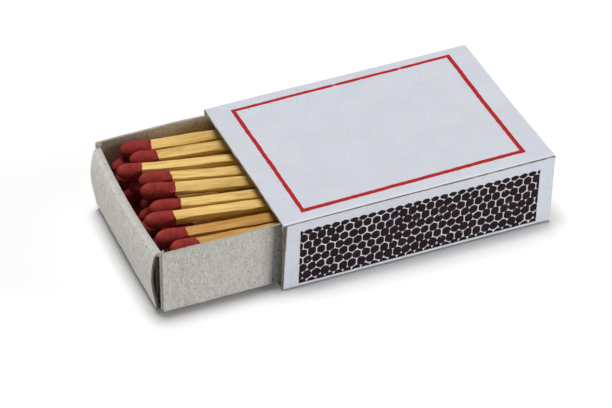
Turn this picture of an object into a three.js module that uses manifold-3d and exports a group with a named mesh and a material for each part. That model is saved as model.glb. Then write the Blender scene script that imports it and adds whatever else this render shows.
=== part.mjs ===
// Matchbox: a printed board sleeve, a grey board tray that slides through it, and its load of matches.
// Millimetres, +Z up, +X along the slide. The origin is the middle of the sleeve's underside.
import * as THREE from 'three';
import { mergeGeometries, mergeVertices } from 'three/addons/utils/BufferGeometryUtils.js';
import loadManifold from 'manifold-3d';

const wasm = await loadManifold();
wasm.setup();

// Sleeve: one board wound into a tube, its lap glued over the flap on the near (-Y) side
const SLEEVE_LENGTH = 50;
const SLEEVE_WIDTH = 36;
const SLEEVE_HEIGHT = 13.7;
const SLEEVE_BOARD = 0.42;
const SLEEVE_FOLD = 0.05; // inside radius of a fold
const FLAP_DEPTH = 9; // how far the flap hangs down behind the lap
const GLUE_LINE = 0.1; // between the flap and the lap
const LAP_EDGE_DROP = 0.25; // the lap's raw edge, below the top of the sleeve
const LAP_SKEW = 0.5; // the lap's lean along the sleeve, from bottom to top
const PANEL_SKEW = 0.45; // how much further the top panel reaches at its near +X corner

// Striker bands: hexagonal dots on a thin film, cut off straight at the band's edges
const STRIKER_MARGIN = 2.75; // from the sleeve's ends to the band
const STRIKER_BASE = 0.55; // from the underside up to the band
const STRIKER_TOP = 2.35; // from the band up to the top of the sleeve
const STRIKER_FILM = 0.04;
const DOT_RISE = 0.08;
const DOT_PITCH = 1.664; // along the band
const DOT_ROW_PITCH = 1.553;
const DOT_LINE = 0.16; // bare line between two dots

// Border printed on the top panel
const BORDER_END = 4; // from the sleeve's ends to the border
const BORDER_SIDE = 2; // from the top panel's folds to the border
const BORDER_LINE = 0.85;
const BORDER_INK = 0.03;
const BORDER_TURN = THREE.MathUtils.degToRad(0.6);

// Tray: one board folded up, its double end walls rolled over tabs that turn in from the side walls
const TRAY_BOARD = 0.45;
const TRAY_FOLD = 0.1; // inside radius of a fold
const TRAY_SIDE_GAP = 0.4; // running clearances in the sleeve
const TRAY_FLOOR_GAP = 0.15;
const TRAY_TOP_GAP = 0.31;
const TRAY_END_INSET = 0.5; // from the sleeve's edge to the end's foot, when shut
const TRAY_OUT = 22.1; // how far the tray is pulled out towards -X
const TRAY_RACK = 0.9; // how far the near side wall stands ahead of the far one
const END_DROP = 0.5; // end walls, below the side walls' tops
const END_BOW = 0.8; // outward bulge of the outer ply
const END_MARGIN = 1.15; // side wall's outer face to the end strip's cut edge
const INNER_FOOT = 0.35; // inner ply's lower edge, above the tray's floor
const TAB_LENGTH = 10;
const TAB_GAP = 0.08; // between a tab and the plies on each side of it
const TAB_FOOT = 0.25; // tab's lower edge, above the tray's floor
const STRIP_OVERLAP = 1; // how far the folded ends run into the trough

// Matches: square splints with dipped heads, all heads at the -X end
const MATCH_SPARE = 3.5; // length left free in the tray
const MATCH_GAP = 0.2; // clearance round every match
const SPLINT_SIDE = 1.85;
const HEAD_COAT = 0.18; // head compound over the splint's corners
const HEAD_LENGTH = 5.3;
const HEAD_TIP = 1.8; // length of the rounded tip
const HEAD_TAPER = 0.04; // loss of radius from the tip's end to the shoulder
const HEAD_SEAT = 2.6; // how deep the splint stands in the head
const SEAT_GAP = 0.06;
const HEAD_ROOM = 0.3; // over the top heads, under the sleeve's top panel
const PIECE_LIMIT = 60; // the top matches' heads and splints are two pieces each, as far as this allows

// Loose top row, from the far side: the slack beside each head and each tail as shares of the row's,
// the tip's place as a share of the spare length, how deep the head was dipped as a share of the usual
// head length, and the roll in degrees
const TOP_ROW = [
  { headSlack: 0, tailSlack: 0.199, inset: 0.79, dip: 1.02, roll: 36 },
  { headSlack: 0, tailSlack: 0.106, inset: 0.98, dip: 0.94, roll: 31 },
  { headSlack: 0, tailSlack: 0.42, inset: 0.03, dip: 0.81, roll: 8 },
  { headSlack: 0, tailSlack: 0.2, inset: 0.87, dip: 1.06, roll: 14 },
  { headSlack: 0, tailSlack: 0.025, inset: 0.63, dip: 1.13, roll: 33 },
  { headSlack: 0.46, tailSlack: 0.03, inset: 0.57, dip: 1, roll: 14 },
  { headSlack: 0.01, tailSlack: 0.004, inset: 0, dip: 0.94, roll: 17 },
  { headSlack: 0.43, tailSlack: 0.004, inset: 0.02, dip: 1.02, roll: 24 },
  { headSlack: 0.04, tailSlack: 0.004, inset: 0.42, dip: 0.91, roll: -3 },
];

// Row under it, from the far side: the tips' places as shares of the spare length
const ROW_BELOW = [0.3, 0.2, 0.55, 1, 1, 0.95, 0.95, 0.9, 0.5, 0.1];

// Fineness of round shapes
const BEND_STEP = Math.PI / 8;
const BOW_STEPS = 6;
const TIP_STEPS = 3;
const HEAD_SIDES = 12;
const FUSED_HEAD_SIDES = 8;
const HEX_SIDES = 6;
const MERGE_DISTANCE = 1e-4;

const sleeveBoard = new THREE.MeshStandardMaterial({ color: 0xd3d6de, roughness: 0.55, metalness: 0 });
const strikerCoat = new THREE.MeshStandardMaterial({ color: 0x2e1f22, roughness: 0.9, metalness: 0 });
const borderInk = new THREE.MeshStandardMaterial({ color: 0xad2a2e, roughness: 0.5, metalness: 0 });
const trayBoard = new THREE.MeshStandardMaterial({ color: 0xb8b5ae, roughness: 0.85, metalness: 0 });
const splintWood = new THREE.MeshStandardMaterial({ color: 0xdfbd70, roughness: 0.7, metalness: 0 });
const headCompound = new THREE.MeshStandardMaterial({ color: 0x8c3231, roughness: 0.8, metalness: 0 });

// Space inside the sleeve, narrower on the near side by the flap and the glue line
const flapInside = -SLEEVE_WIDTH / 2 + 2 * SLEEVE_BOARD + GLUE_LINE;
const cavityWidth = SLEEVE_WIDTH / 2 - SLEEVE_BOARD - flapInside;
const cavityMiddle = flapInside + cavityWidth / 2;
const cavityHeight = SLEEVE_HEIGHT - 2 * SLEEVE_BOARD;

// Print on the sleeve: the top panel runs from the flap's outer face to the far side
const panelWidth = cavityWidth + 2 * SLEEVE_BOARD;
const borderLength = SLEEVE_LENGTH - 2 * BORDER_END;
const borderWidth = panelWidth - 2 * BORDER_SIDE;
const strikerLength = SLEEVE_LENGTH - 2 * STRIKER_MARGIN;
const strikerHeight = SLEEVE_HEIGHT - STRIKER_BASE - STRIKER_TOP;

// Tray, in its own frame: origin under the middle of its floor
const trayWidth = cavityWidth - 2 * TRAY_SIDE_GAP;
const trayLength = SLEEVE_LENGTH - 2 * TRAY_END_INSET;
const sideHeight = cavityHeight - TRAY_FLOOR_GAP - TRAY_TOP_GAP;
const endHeight = sideHeight - END_DROP;
const plyPitch = 2 * (TRAY_BOARD + TAB_GAP);
const outerPly = -trayLength / 2 + TRAY_BOARD / 2;
const innerPly = outerPly + plyPitch;
const innerEnd = innerPly + TRAY_BOARD / 2;
const innerSide = trayWidth / 2 - TRAY_BOARD;
const rackSlope = TRAY_RACK / trayWidth;

// Matches
const matchLength = -2 * innerEnd - 2 * MATCH_GAP - MATCH_SPARE;
const headRadius = SPLINT_SIDE / Math.SQRT2 + HEAD_COAT;
const headPitch = 2 * headRadius + MATCH_GAP;

// A closed mesh as a solid that can be joined and cut
function toSolid(geometry) {
  const bare = geometry.clone();
  bare.deleteAttribute('normal');
  bare.deleteAttribute('uv');
  const merged = mergeVertices(bare, MERGE_DISTANCE);
  const index = merged.getIndex().array;
  const corners = [];
  for (let i = 0; i < index.length; i += 3) {
    const [a, b, c] = [index[i], index[i + 1], index[i + 2]];
    if (a !== b && b !== c && c !== a) corners.push(a, b, c);
  }
  const mesh = new wasm.Mesh({
    numProp: 3,
    vertProperties: new Float32Array(merged.getAttribute('position').array),
    triVerts: new Uint32Array(corners),
  });
  return new wasm.Manifold(mesh);
}

function toGeometry(solid) {
  const mesh = solid.getMesh();
  const geometry = new THREE.BufferGeometry();
  geometry.setAttribute('position', new THREE.BufferAttribute(mesh.vertProperties, 3));
  geometry.setIndex(new THREE.BufferAttribute(mesh.triVerts, 1));
  geometry.computeVertexNormals();
  return geometry;
}

function join(geometries) {
  const solids = geometries.map(toSolid);
  return toGeometry(solids.reduce((whole, solid) => whole.add(solid)));
}

function piece(name, geometry, material) {
  const mesh = new THREE.Mesh(geometry, material);
  mesh.name = name;
  return mesh;
}

// Extrusions of an outline drawn in (y, z), (x, z) or (x, y)
function alongX(outline, from, to) {
  const geometry = new THREE.ExtrudeGeometry(outline, { depth: to - from, bevelEnabled: false });
  const across = new THREE.Vector3(0, 1, 0);
  const up = new THREE.Vector3(0, 0, 1);
  const along = new THREE.Vector3(1, 0, 0);
  geometry.applyMatrix4(new THREE.Matrix4().makeBasis(across, up, along));
  return geometry.translate(from, 0, 0);
}

function alongY(outline, from, to) {
  const geometry = new THREE.ExtrudeGeometry(outline, { depth: to - from, bevelEnabled: false });
  return geometry.rotateX(Math.PI / 2).translate(0, to, 0);
}

function alongZ(outline, from, to) {
  const geometry = new THREE.ExtrudeGeometry(outline, { depth: to - from, bevelEnabled: false });
  return geometry.translate(0, 0, from);
}

// Outline of a folded board: its mid-line as rows of [across, up, radius of the bend there]
function boardOutline(midline, board) {
  const origin = new THREE.Vector2();
  const points = midline.map(([u, v]) => new THREE.Vector2(u, v));
  const leftOf = (direction) => new THREE.Vector2(-direction.y, direction.x);
  const left = [];
  const right = [];
  const addPair = (at, normal) => {
    left.push(at.clone().addScaledVector(normal, board / 2));
    right.unshift(at.clone().addScaledVector(normal, -board / 2));
  };
  points.forEach((at, i) => {
    const before = i > 0 ? at.clone().sub(points[i - 1]).normalize() : null;
    const after = i < points.length - 1 ? points[i + 1].clone().sub(at).normalize() : null;
    if (!before || !after) {
      addPair(at, leftOf(before ?? after));
      return;
    }
    const turn = Math.atan2(before.cross(after), before.dot(after));
    const bend = midline[i][2] ?? 0;
    if (bend === 0) {
      const mitre = leftOf(before).rotateAround(origin, turn / 2).divideScalar(Math.cos(turn / 2));
      addPair(at, mitre);
      return;
    }
    const side = Math.sign(turn);
    const start = at.clone().addScaledVector(before, -bend * Math.tan(Math.abs(turn) / 2));
    const centre = start.addScaledVector(leftOf(before), side * bend);
    const steps = Math.ceil(Math.abs(turn) / BEND_STEP);
    for (let k = 0; k <= steps; k += 1) {
      const normal = leftOf(before).rotateAround(origin, (turn * k) / steps);
      addPair(centre.clone().addScaledVector(normal, -side * bend), normal);
    }
  });
  return new THREE.Shape([...left, ...right]);
}

// The blank is cut out of square: the lap leans with all that is on it, and the top panel's +X end is askew
function skewBlank(geometry) {
  const lapInside = -SLEEVE_WIDTH / 2 + SLEEVE_BOARD + GLUE_LINE / 2;
  const position = geometry.getAttribute('position');
  for (let i = 0; i < position.count; i += 1) {
    const [x, y, z] = [position.getX(i), position.getY(i), position.getZ(i)];
    const nearShare = 0.5 - y / SLEEVE_WIDTH;
    const panelSkew = x > 0 ? PANEL_SKEW * nearShare : 0;
    const skew = y < lapInside ? LAP_SKEW : panelSkew;
    position.setX(i, x + (skew * z) / SLEEVE_HEIGHT);
  }
  return geometry;
}

function sleeve() {
  const half = SLEEVE_BOARD / 2;
  const fold = SLEEVE_FOLD + half;
  const top = SLEEVE_HEIGHT - half;
  const side = SLEEVE_WIDTH / 2 - half;
  const flap = flapInside - half;
  const midline = [
    [flap, top - FLAP_DEPTH],
    [flap, top, fold],
    [side, top, fold],
    [side, half, fold],
    [-side, half, fold],
    [-side, SLEEVE_HEIGHT - LAP_EDGE_DROP],
  ];
  const outline = boardOutline(midline, SLEEVE_BOARD);
  const tube = alongX(outline, -SLEEVE_LENGTH / 2, SLEEVE_LENGTH / 2);
  return piece('sleeve', skewBlank(tube), sleeveBoard);
}

// Striker band standing on the near side: a film with a honeycomb of dots, cut off at its edges
function strikerBand() {
  const stretch = DOT_ROW_PITCH / (DOT_PITCH * Math.sin(Math.PI / 3));
  const corner = (DOT_PITCH - DOT_LINE) / Math.sqrt(3);
  const hexagon = new THREE.Shape(
    Array.from({ length: HEX_SIDES }, (_, k) => {
      const angle = ((k + 0.5) * 2 * Math.PI) / HEX_SIDES;
      return new THREE.Vector2(corner * Math.cos(angle), corner * stretch * Math.sin(angle));
    }),
  );
  const rows = Math.ceil(strikerHeight / DOT_ROW_PITCH) + 1;
  const columns = Math.ceil(strikerLength / DOT_PITCH) + 1;
  const dots = [];
  for (let row = 0; row < rows; row += 1) {
    for (let column = 0; column < columns; column += 1) {
      const along = (column - (columns - 1) / 2 + (row % 2 === 0 ? 0.5 : 0)) * DOT_PITCH;
      const up = (row - (rows - 1) / 2) * DOT_ROW_PITCH;
      dots.push(alongZ(hexagon, STRIKER_FILM / 2, STRIKER_FILM + DOT_RISE).translate(along, up, 0));
    }
  }
  const depth = STRIKER_FILM + DOT_RISE;
  const band = new THREE.BoxGeometry(strikerLength, strikerHeight, 2 * depth);
  const film = new THREE.BoxGeometry(strikerLength, strikerHeight, STRIKER_FILM);
  film.translate(0, 0, STRIKER_FILM / 2);
  const honeycomb = toSolid(mergeGeometries(dots)).intersect(toSolid(band));
  const geometry = toGeometry(toSolid(film).add(honeycomb));
  geometry.rotateX(Math.PI / 2);
  return geometry.translate(0, -SLEEVE_WIDTH / 2, STRIKER_BASE + strikerHeight / 2);
}

function printedBorder() {
  const rectangle = (length, width) => [
    new THREE.Vector2(-length / 2, -width / 2),
    new THREE.Vector2(length / 2, -width / 2),
    new THREE.Vector2(length / 2, width / 2),
    new THREE.Vector2(-length / 2, width / 2),
  ];
  const frame = new THREE.Shape(rectangle(borderLength, borderWidth));
  const inside = rectangle(borderLength - 2 * BORDER_LINE, borderWidth - 2 * BORDER_LINE);
  frame.holes.push(new THREE.Path(inside));
  const geometry = alongZ(frame, SLEEVE_HEIGHT, SLEEVE_HEIGHT + BORDER_INK);
  return piece('printed_border', geometry.rotateZ(BORDER_TURN).translate(0, cavityMiddle, 0), borderInk);
}

// One end of the tray: the bowed outer ply, rolled over at the top and tucked down inside, with the
// two side walls' corners and tabs
function trayEnd() {
  const fold = TRAY_FOLD + TRAY_BOARD / 2;
  const floor = TRAY_BOARD / 2;
  const wall = trayWidth / 2 - TRAY_BOARD / 2;
  const tab = outerPly + plyPitch / 2;
  const cornerStart = tab + fold;
  const roll = endHeight - TRAY_BOARD / 2;
  const bow = Array.from({ length: BOW_STEPS - 1 }, (_, k) => {
    const share = (k + 1) / BOW_STEPS;
    return [outerPly - END_BOW * Math.sin(Math.PI * share), floor + share * (roll - floor)];
  });
  const strip = boardOutline(
    [
      [cornerStart + STRIP_OVERLAP, floor],
      [outerPly, floor, fold],
      ...bow,
      [outerPly, roll, plyPitch / 2],
      [innerPly, roll, plyPitch / 2],
      [innerPly, TRAY_BOARD + INNER_FOOT],
    ],
    TRAY_BOARD,
  );
  const stripHalf = trayWidth / 2 - END_MARGIN;
  const tabTop = endHeight - TRAY_BOARD - TAB_GAP;
  const pieces = [alongY(strip, -stripHalf, stripHalf)];
  const cornerStrip = (side, reach, top) => {
    const path = [
      [cornerStart + STRIP_OVERLAP, side * wall],
      [tab, side * wall, fold],
      [tab, side * (wall - reach)],
    ];
    return alongZ(boardOutline(path, TRAY_BOARD), TRAY_BOARD + TAB_FOOT, top);
  };
  for (const side of [1, -1]) {
    pieces.push(cornerStrip(side, wall - stripHalf - TAB_GAP, sideHeight));
    pieces.push(cornerStrip(side, TAB_LENGTH, tabTop));
  }
  return { pieces, cornerStart };
}

function tray() {
  const { pieces, cornerStart } = trayEnd();
  const fold = TRAY_FOLD + TRAY_BOARD / 2;
  const floor = TRAY_BOARD / 2;
  const wall = trayWidth / 2 - TRAY_BOARD / 2;
  const section = [
    [-wall, sideHeight],
    [-wall, floor, fold],
    [wall, floor, fold],
    [wall, sideHeight],
  ];
  const trough = alongX(boardOutline(section, TRAY_BOARD), cornerStart, -cornerStart);
  const otherEnd = pieces.map((geometry) => geometry.clone().rotateZ(Math.PI));
  const geometry = join([trough, ...pieces, ...otherEnd]);
  geometry.applyMatrix4(new THREE.Matrix4().makeShear(0, 0, rackSlope, 0, 0, 0));
  return piece('tray', geometry, trayBoard);
}

// Match in its own frame: the head's tip at the origin, the splint along +X
function headBulb(length, sides) {
  const tip = new THREE.EllipseCurve(0, HEAD_TIP, headRadius, HEAD_TIP, -Math.PI / 2, 0);
  const profile = [
    ...tip.getPoints(TIP_STEPS),
    new THREE.Vector2(headRadius - HEAD_TAPER, length),
    new THREE.Vector2(0, length),
  ];
  profile[0].x = 0;
  return new THREE.LatheGeometry(profile, sides, Math.PI / sides).rotateZ(-Math.PI / 2);
}

function bar(from, to, side) {
  return new THREE.BoxGeometry(to - from, side, side).translate((from + to) / 2, 0, 0);
}

function wholeMatch(name, headLength) {
  const splint = bar(headLength - HEAD_SEAT, matchLength, SPLINT_SIDE);
  return [piece(name, join([headBulb(headLength, FUSED_HEAD_SIDES), splint]), splintWood)];
}

function headAndSplint(name, headLength) {
  const seat = headLength - HEAD_SEAT;
  const socket = bar(seat, headLength + HEAD_SEAT, SPLINT_SIDE + 2 * SEAT_GAP);
  const head = toSolid(headBulb(headLength, HEAD_SIDES)).subtract(toSolid(socket));
  return [
    piece(`${name}_splint`, bar(seat + SEAT_GAP, matchLength, SPLINT_SIDE), splintWood),
    piece(`${name}_head`, toGeometry(head), headCompound),
  ];
}

// Places across the tray, from the far side, of a row with the given half widths and shares of its slack
function spread(halfWidths, shares) {
  const needed = halfWidths.reduce((sum, half) => sum + 2 * half + MATCH_GAP, MATCH_GAP);
  const slack = 2 * innerSide - needed;
  let edge = innerSide;
  return halfWidths.map((half, i) => {
    const centre = edge - MATCH_GAP - shares[i] * slack - half;
    edge = centre - half;
    return centre;
  });
}

// The loose top row, each match as the points where its head and its tail lie
function topRow(count, headHeight, tailHeight) {
  const row = TOP_ROW.slice(0, count);
  const rolls = row.map(({ roll }) => THREE.MathUtils.degToRad(roll));
  const tailHalves = rolls.map((roll) => (SPLINT_SIDE / 2) * (Math.cos(roll) + Math.abs(Math.sin(roll))));
  const heads = spread(row.map(() => headRadius), row.map(({ headSlack }) => headSlack));
  const tails = spread(tailHalves, row.map(({ tailSlack }) => tailSlack));
  return row.map(({ inset, dip }, i) => ({
    headAt: [heads[i], headHeight],
    tailAt: [tails[i], tailHeight],
    inset,
    headLength: dip * HEAD_LENGTH,
    roll: rolls[i],
  }));
}

// Rows of matches lying on each other under the loose row, as many as there is room for: the heads are
// thicker than the splints, so that the matches slope down to their tails
function matchRows() {
  const headReach = innerSide - headRadius - MATCH_GAP;
  const fullRow = Math.floor((2 * headReach) / headPitch) + 1;
  const station = (2 * headReach) / (fullRow - 1);
  const rise = Math.sqrt(headPitch ** 2 - (station / 2) ** 2);
  const headFloor = TRAY_BOARD + MATCH_GAP + headRadius;
  const tailFloor = TRAY_BOARD + MATCH_GAP + SPLINT_SIDE / 2;
  const tailRise = SPLINT_SIDE + MATCH_GAP;
  const highest = cavityHeight - TRAY_FLOOR_GAP - HEAD_ROOM - headRadius;
  const lowerRows = Math.floor((highest - headPitch - headFloor) / rise) + 1;
  const lastHead = headFloor + (lowerRows - 1) * rise;
  const lastTail = tailFloor + (lowerRows - 1) * tailRise;
  const topTail = lastTail + SPLINT_SIDE / 2 + MATCH_GAP + SPLINT_SIDE / Math.SQRT2;
  const matches = topRow(fullRow, lastHead + headPitch, topTail);
  const goldenRatio = (Math.sqrt(5) - 1) / 2;
  for (let row = lowerRows - 1; row >= 0; row -= 1) {
    const count = row % 2 === 0 ? fullRow : fullRow - 1;
    const showing = row === lowerRows - 1;
    for (let column = 0; column < count; column += 1) {
      const across = ((count - 1) / 2 - column) * station;
      matches.push({
        headAt: [across, headFloor + row * rise],
        tailAt: [across, tailFloor + row * tailRise],
        inset: showing ? ROW_BELOW[column % ROW_BELOW.length] : (matches.length * goldenRatio) % 1,
        headLength: HEAD_LENGTH,
        roll: 0,
      });
    }
  }
  return matches;
}

// A match laid in the tray, clear of both end walls
function layMatch({ headAt, tailAt, inset, headLength, roll }, pieces) {
  const headPlane = innerEnd + MATCH_GAP + (HEAD_LENGTH + MATCH_SPARE) / 2;
  const tailPlane = -innerEnd - MATCH_GAP;
  const head = new THREE.Vector3(headPlane, ...headAt);
  const axis = new THREE.Vector3(tailPlane, ...tailAt).sub(head);
  const front = innerEnd + MATCH_GAP + rackSlope * headAt[0];
  const back = tailPlane + rackSlope * tailAt[0] - matchLength;
  const tip = front + inset * (back - front);
  const match = new THREE.Group();
  match.position.copy(head).addScaledVector(axis, (tip - headPlane) / axis.x);
  axis.normalize();
  match.rotation.set(roll, -Math.asin(axis.z), Math.atan2(axis.y, axis.x), 'ZYX');
  return match.add(...pieces);
}

function load(otherPieces) {
  const matches = matchRows();
  const separate = PIECE_LIMIT - otherPieces - matches.length;
  return matches.map((match, i) => {
    const name = `match_${String(i + 1).padStart(2, '0')}`;
    const make = i < separate ? headAndSplint : wholeMatch;
    return layMatch(match, make(name, match.headLength));
  });
}

const shell = [
  sleeve(),
  printedBorder(),
  piece('striker_near', skewBlank(strikerBand()), strikerCoat),
  piece('striker_far', strikerBand().rotateZ(Math.PI), strikerCoat),
];

const drawer = new THREE.Group();
drawer.position.set(-TRAY_OUT, cavityMiddle, SLEEVE_BOARD + TRAY_FLOOR_GAP);
drawer.add(tray());
drawer.add(...load(shell.length + drawer.children.length));

const matchbox = new THREE.Group();
matchbox.add(...shell, drawer);

export default matchbox;
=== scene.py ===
import math

import bmesh
import bpy
import numpy as np
from mathutils import Matrix, Vector, noise


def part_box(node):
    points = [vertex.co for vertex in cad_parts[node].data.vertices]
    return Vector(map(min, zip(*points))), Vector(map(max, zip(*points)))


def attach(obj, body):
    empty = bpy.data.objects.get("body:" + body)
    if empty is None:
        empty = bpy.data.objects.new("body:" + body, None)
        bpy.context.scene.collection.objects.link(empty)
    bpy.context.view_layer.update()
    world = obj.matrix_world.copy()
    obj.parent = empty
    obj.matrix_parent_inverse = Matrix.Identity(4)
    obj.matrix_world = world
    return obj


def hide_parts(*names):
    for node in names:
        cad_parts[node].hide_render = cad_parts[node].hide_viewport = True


# The looks of a matchbox, half open: metres, in the frame of its solids, +X along the slide and +Z up
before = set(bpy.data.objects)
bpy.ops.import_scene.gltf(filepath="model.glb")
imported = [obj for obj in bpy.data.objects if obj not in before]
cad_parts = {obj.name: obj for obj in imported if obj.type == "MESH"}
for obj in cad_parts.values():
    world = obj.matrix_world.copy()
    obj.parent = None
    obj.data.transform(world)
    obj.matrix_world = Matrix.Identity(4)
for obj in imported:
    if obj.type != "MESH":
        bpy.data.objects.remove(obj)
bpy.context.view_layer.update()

MM = 0.001

# View of the photograph: its focal length in pixels, and where the camera stands
IMAGE_WIDTH = 612
FOCAL_PIXELS = 3532.7
SENSOR_WIDTH = 36
CAMERA_PLACE = Vector((-202.95, -449.59, 372.78)) * MM
CAMERA_AZIMUTH = math.radians(-22.872)
CAMERA_ELEVATION = math.radians(37.22)

# Fineness of the meshes
BEND_STEPS = 8
PATH_STEP = 1.2 * MM
SWEEP_STEP = 1.0 * MM
EDGE_ROUND = 0.07 * MM  # worn edge of a cut board
EDGE_SHARE = 0.72  # of the board's thickness that is left at that edge
SMOOTH_ANGLE = math.radians(38)
SAME_PLACE = 1e-4  # of a step: points closer than this are one
FOLD_ROOM = 0.9  # of a bend's radius: how far the board reaches in towards its centre
FREE_ROOM = 1.0  # more than any board's thickness
NOISE_SEED = 7  # of the boards' waver, which would otherwise follow the clock
NOISE_SPAN = 100  # range from which a piece's place in the noise is drawn
WHITE = (1, 1, 1, 1)
SPECK_EDGE = (0.42, 0.16)  # of a cell, from its middle: where a speck fades out and where it is full

# Sleeve board, as in the solids
sleeve_low, sleeve_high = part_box("sleeve")
HALF_LENGTH = -sleeve_low.x
HALF_WIDTH = sleeve_high.y
HEIGHT = sleeve_high.z
SLEEVE_BOARD = 0.42 * MM
SLEEVE_BEND = 0.1 * MM  # radius of the board's middle at a fold
FLAP_DEPTH = 9 * MM
GLUE_LINE = 0.1 * MM
LAP_EDGE_DROP = 0.4 * MM  # of the lap's raw edge below the top, at the mouth
LAP_EDGE_RISE = 0.2 * MM  # how much higher it lies at the other end
LAP_SKEW = 0.5 * MM  # lean of the lap's two cuts, from its foot to its top
LAP_CUT = 0.32 * MM  # further lean of the lap's cut at the mouth, growing with the square of the height
LAP_FOOT = 0.08 * MM  # how far the lap reaches out there at its foot
LAP_SPLAY = 0.1 * MM  # how far the lap stands off the flap there, at its top
LAP_BEVEL = 0.3 * MM  # how much further its inner face reaches out there
FLAP_CUT = 0.1 * MM  # how far the flap's cut leans in there
FLAP_TURN = 3 * MM  # from the fold down to where it does so
FOOT_REACH = 0.42 * MM  # how far the bottom panel reaches out there
FOOT_TURN = 2 * MM  # from the near side to where it does so
FOOT_SAG = 0.14 * MM  # how far the near bottom fold hangs down
SAG_REACH = 3 * MM  # up the near side and in under the bottom, over which it does so
PANEL_CUT = 0.45 * MM  # how far the top panel's other end reaches out at its near corner
CUT_LENGTH = 2.2 * MM  # of the board's ends that follow a skewed cut
FAR_RISE = (0.12 * MM, 0.36 * MM)  # of the far top fold, at the mouth and at the other end
LAP_NICK = 0.06 * MM  # raggedness of the lap's raw edge
LAP_NICK_SPACING = 0.9 * MM
LAP_NICK_DEPTH = 0.4 * MM
CUT_NICK = 0.035 * MM  # raggedness of the board's cut ends
CUT_NICK_SPACING = 0.5 * MM
CUT_NICK_START = 0.9  # of the way through a skewed end to its cut
CUT_SLICE = 3 * MM  # place of that raggedness in the noise
SLEEVE_WAVER = 0.07 * MM  # unevenness of the whole board
SLEEVE_WAVE = 16 * MM  # and the length of its waves
FOLD_OVERHANG = 0.46 * MM  # how far the top panel's near fold bulges out over that edge
FOLD_LIFT = 0.12 * MM  # height over which it does so
FOLD_REACH = (0.8 * MM, 1.6 * MM)  # from the near side, where the bulge is full and where it starts
CONTACT_SHADE_HEIGHT = (0.1 * MM, -0.08 * MM)  # where the painted contact shade on the near bottom fold starts and where it is full
CONTACT_SHADE_REACH = (1.5 * MM, 0.5 * MM)  # the same, from the near side
SEAM_DEPTH = (1.0 * MM, 0.5 * MM)  # below the top: where the lap's raw edge starts to darken and is dark
flap_inside = -HALF_WIDTH + 2 * SLEEVE_BOARD + GLUE_LINE
lap_inside = -HALF_WIDTH + SLEEVE_BOARD + GLUE_LINE / 2

# Honeycomb striker
STRIKER_HALF = HALF_LENGTH - 2.75 * MM
STRIKER_BASE = 0.55 * MM
STRIKER_TOP = HEIGHT - 2.35 * MM
DOT_PITCH = 1.664 * MM
DOT_ROW_PITCH = 1.553 * MM
DOT_LINE = 0.12 * MM
DOT_RISE = 0.03 * MM
DOT_RINGS = (  # shares of a dot's reach, from its rim inward, and their heights over the board
    (1, -0.01 * MM),
    (0.93, 0.6 * DOT_RISE),
    (0.8, 0.95 * DOT_RISE),
    (0.4, DOT_RISE),
)
DOT_POINTS = 36
DOT_LEAST = 0.12 * MM  # size below which a cut-off dot is left out
DOT_SIZES = (0.985, 1.03)
DOT_LEAN = 0.03 * MM  # how far a dot may lie from its place
DOT_RAGGED = 0.028 / 3  # raggedness of its outline, from one point to the next
LEAST_COSINE = 0.05  # keeps a side's reach finite in directions along it
DOT_POWER = 9  # the higher, the more hexagonal a dot
BRIDGE_CHANCE = 0.46  # that two dots have run together
BRIDGE_DRIFT = 0.5  # how much that chance drifts along the band
DRIFT_DOTS = 5  # dots to a drift
BRIDGE_ANGLE = math.radians(18)
BRIDGE_AMOUNT = (0.9, 1.5)
BRIDGE_PUSH = 1.5  # of the line: how far dots that have run together swell
BAND_SOFT = 0.07 * MM  # rounding of the dots at the band's edges
BAND_WOBBLE = (-0.07 * MM, 0.03 * MM)  # raggedness of the dots' cut edges there
TOP_CROWN = 0.24 * MM  # how far the middle of a dot may stand out over the band's top
TOP_FALL = 0.36 * MM  # and how much lower its ends stay
FOOT_MARGIN = 0.08 * MM  # of the band's foot that stays bare
FOOT_BRIDGES = 0.3  # how much likelier the dots at the foot have run together with the next row
STRIKERS = [("striker_near", 11, -1), ("striker_far", 12, 1)]  # node, seed, and side: -1 near, 1 far

# Red border on the top panel: corners of its middle line, from the near left one round to the far left one
BORDER_CORNERS = [
    Vector((-20.4, -15.5)) * MM,
    Vector((20.8, -14.62)) * MM,
    Vector((20.75, 15.9)) * MM,
    Vector((-20.5, 15.42)) * MM,
]
BORDER_LINES = [0.92 * MM, 0.86 * MM, 0.74 * MM, 0.8 * MM]  # their widths
BORDER_INK = 0.02 * MM
BORDER_STEP = 0.3 * MM
BORDER_FLAT = 0.9  # of the line's half width that lies at the ink's full height
BORDER_RAGGED = 0.16  # how much that half width varies
BORDER_RAG_SPACING = 0.8 * MM
BORDER_WANDER = 0.05 * MM  # how far the line strays
BORDER_WANDER_SPACING = 2.5 * MM
WANDER_SLICE = 9 * MM  # place of that straying in the noise
WORN_LINE = 2  # number of the line that is worn, its far one
WORN_PLACES = (-1.3 * MM, 11.3 * MM)
WORN_LENGTH = 0.3 * MM
WORN_SHARE = 0.5  # of the half width that is lost there

# Tray board, as in the solids
tray_low, tray_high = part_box("tray")
TRAY_ORIGIN = Vector(((tray_low.x + tray_high.x) / 2, (tray_low.y + tray_high.y) / 2, tray_low.z))
TRAY_WIDTH = tray_high.y - tray_low.y
SIDE_HEIGHT = tray_high.z - tray_low.z
TRAY_LENGTH = 49 * MM
TRAY_BOARD = 0.45 * MM
TRAY_BEND = 0.15 * MM  # radius of the board's middle at a fold
TRAY_RACK = 0.9 * MM  # by which the far side wall lies further along than the near one
END_DROP = 0.5 * MM
END_BOW = 0.8 * MM
END_MARGIN = 1.15 * MM
INNER_FOOT = 0.35 * MM
TAB_LENGTH = 10 * MM
TAB_GAP = 0.08 * MM
TAB_FOOT = 0.25 * MM
END_HEIGHT = SIDE_HEIGHT - END_DROP
PLY_PITCH = 2 * (TRAY_BOARD + TAB_GAP)
OUTER_PLY = -TRAY_LENGTH / 2 + TRAY_BOARD / 2
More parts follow.
